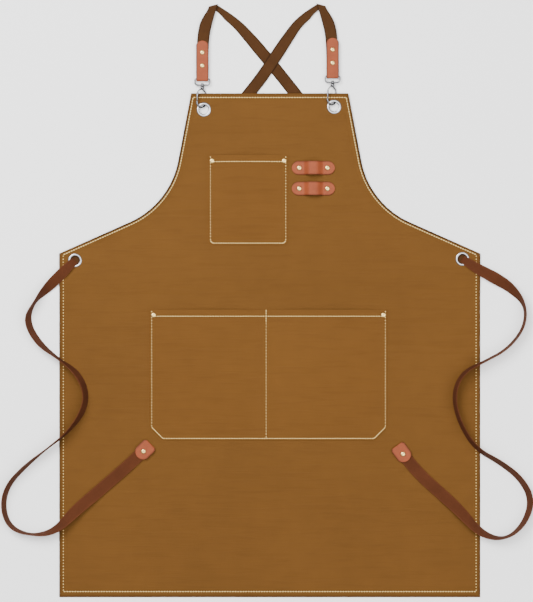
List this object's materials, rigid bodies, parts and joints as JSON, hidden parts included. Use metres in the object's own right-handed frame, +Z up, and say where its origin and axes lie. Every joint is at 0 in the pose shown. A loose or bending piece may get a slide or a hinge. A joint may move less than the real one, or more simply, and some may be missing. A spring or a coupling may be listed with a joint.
{
  "type": "apron",
  "caption": "Bib work apron of waxed cloth with open pockets, riveted leather tool loops and crossed webbing straps clipped to the bib by swivel snap hooks.",
  "frame": {"origin": "middle of the footprint of the cloth, hooks and shoulder tabs, on the surface the apron lies on", "axes": "+Z up off the surface the apron lies on, out of the apron's front face; +Y from the hem towards the bib; +X to the viewer's right"},
  "size_m": [0.879, 0.9903, 0.0229],
  "materials": {
    "cloth": "waxed tan-brown canvas, matt, soft creases",
    "pocket_cloth": "waxed tan-brown canvas, slightly lighter than the panel",
    "webbing": "flat woven dark-brown webbing, matt",
    "leather": "reddish-tan leather with burnished edges, satin",
    "rivet": "pale polished brass",
    "grommet": "polished nickel",
    "hook_metal": "polished nickel"
  },
  "bodies": {
    "apron": {"apron_panel": "cloth", "back_webbing_left": "webbing", "back_webbing_right": "webbing", "bib_grommet_left": "grommet", "bib_grommet_right": "grommet", "bib_washer_left": "grommet", "bib_washer_right": "grommet", "chest_pocket": "pocket_cloth", "chest_pocket_rivet_backs": "rivet", "chest_pocket_rivets": "rivet", "end_rivet_left": "rivet", "end_rivet_right": "rivet", "end_tab_left": "leather", "end_tab_right": "leather", "fold_webbing_left": "webbing", "fold_webbing_right": "webbing", "front_webbing_left": "webbing", "front_webbing_right": "webbing", "lower_pocket": "pocket_cloth", "lower_pocket_rivet_backs": "rivet", "lower_pocket_rivets": "rivet", "tail_end_left": "webbing", "tail_end_right": "webbing", "tail_start_left": "webbing", "tail_start_right": "webbing", "tool_loop_lower": "leather", "tool_loop_rivet_backs": "rivet", "tool_loop_rivets": "rivet", "tool_loop_upper": "leather", "waist_grommet_left": "grommet", "waist_grommet_right": "grommet", "waist_pass_left": "webbing", "waist_pass_right": "webbing", "waist_tail_left": "webbing", "waist_tail_right": "webbing", "waist_washer_left": "grommet", "waist_washer_right": "grommet"},
    "hook_left": {"snap_hook_left": "hook_metal", "gate_pin_left": "hook_metal"},
    "gate_left": {"snap_gate_left": "hook_metal"},
    "eye_left": {"strap_eye_left": "hook_metal"},
    "strap_end_left": {"shoulder_tab_left": "leather", "tab_rivets_left": "rivet", "tab_rivet_backs_left": "rivet"},
    "hook_right": {"snap_hook_right": "hook_metal", "gate_pin_right": "hook_metal"},
    "gate_right": {"snap_gate_right": "hook_metal"},
    "eye_right": {"strap_eye_right": "hook_metal"},
    "strap_end_right": {"shoulder_tab_right": "leather", "tab_rivets_right": "rivet", "tab_rivet_backs_right": "rivet"}
  },
  "joints": [
    {"name": "hook_swing_left", "type": "hinge", "parent": "apron", "child": "hook_left", "pos_m": [-0.1098, 0.3468, 0.0052], "axis": [0, 0, 1], "range_deg": [-12, 12], "deforming": ["front_webbing_left", "fold_webbing_left", "back_webbing_left"]},
    {"name": "gate_left", "type": "hinge", "parent": "hook_left", "child": "gate_left", "pos_m": [-0.11602, 0.3798, 0.0079], "axis": [0.5878, 0, 0.809], "range_deg": [0, 14], "stiffness_Nm_per_rad": 0.01, "springref_deg": -17.19},
    {"name": "swivel_left", "type": "hinge", "parent": "hook_left", "child": "eye_left", "pos_m": [-0.1123, 0.3874, 0.0052], "axis": [0, 1, 0], "range_deg": [-12, 12]},
    {"name": "tab_tilt_left", "type": "hinge", "parent": "eye_left", "child": "strap_end_left", "pos_m": [-0.1123, 0.3977, 0.0052], "axis": [1, 0, 0], "range_deg": [0, 30]},
    {"name": "hook_swing_right", "type": "hinge", "parent": "apron", "child": "hook_right", "pos_m": [0.1072, 0.3514, 0.0052], "axis": [0, 0, 1], "range_deg": [-12, 12], "deforming": ["front_webbing_right", "fold_webbing_right", "back_webbing_right"]},
    {"name": "gate_right", "type": "hinge", "parent": "hook_right", "child": "gate_right", "pos_m": [0.10098, 0.3844, 0.0079], "axis": [0.5878, 0, 0.809], "range_deg": [0, 14], "stiffness_Nm_per_rad": 0.01, "springref_deg": -17.19},
    {"name": "swivel_right", "type": "hinge", "parent": "hook_right", "child": "eye_right", "pos_m": [0.1047, 0.392, 0.0052], "axis": [0, 1, 0], "range_deg": [-12, 12]},
    {"name": "tab_tilt_right", "type": "hinge", "parent": "eye_right", "child": "strap_end_right", "pos_m": [0.1047, 0.4023, 0.0052], "axis": [1, 0, 0], "range_deg": [0, 30]}
  ]
}
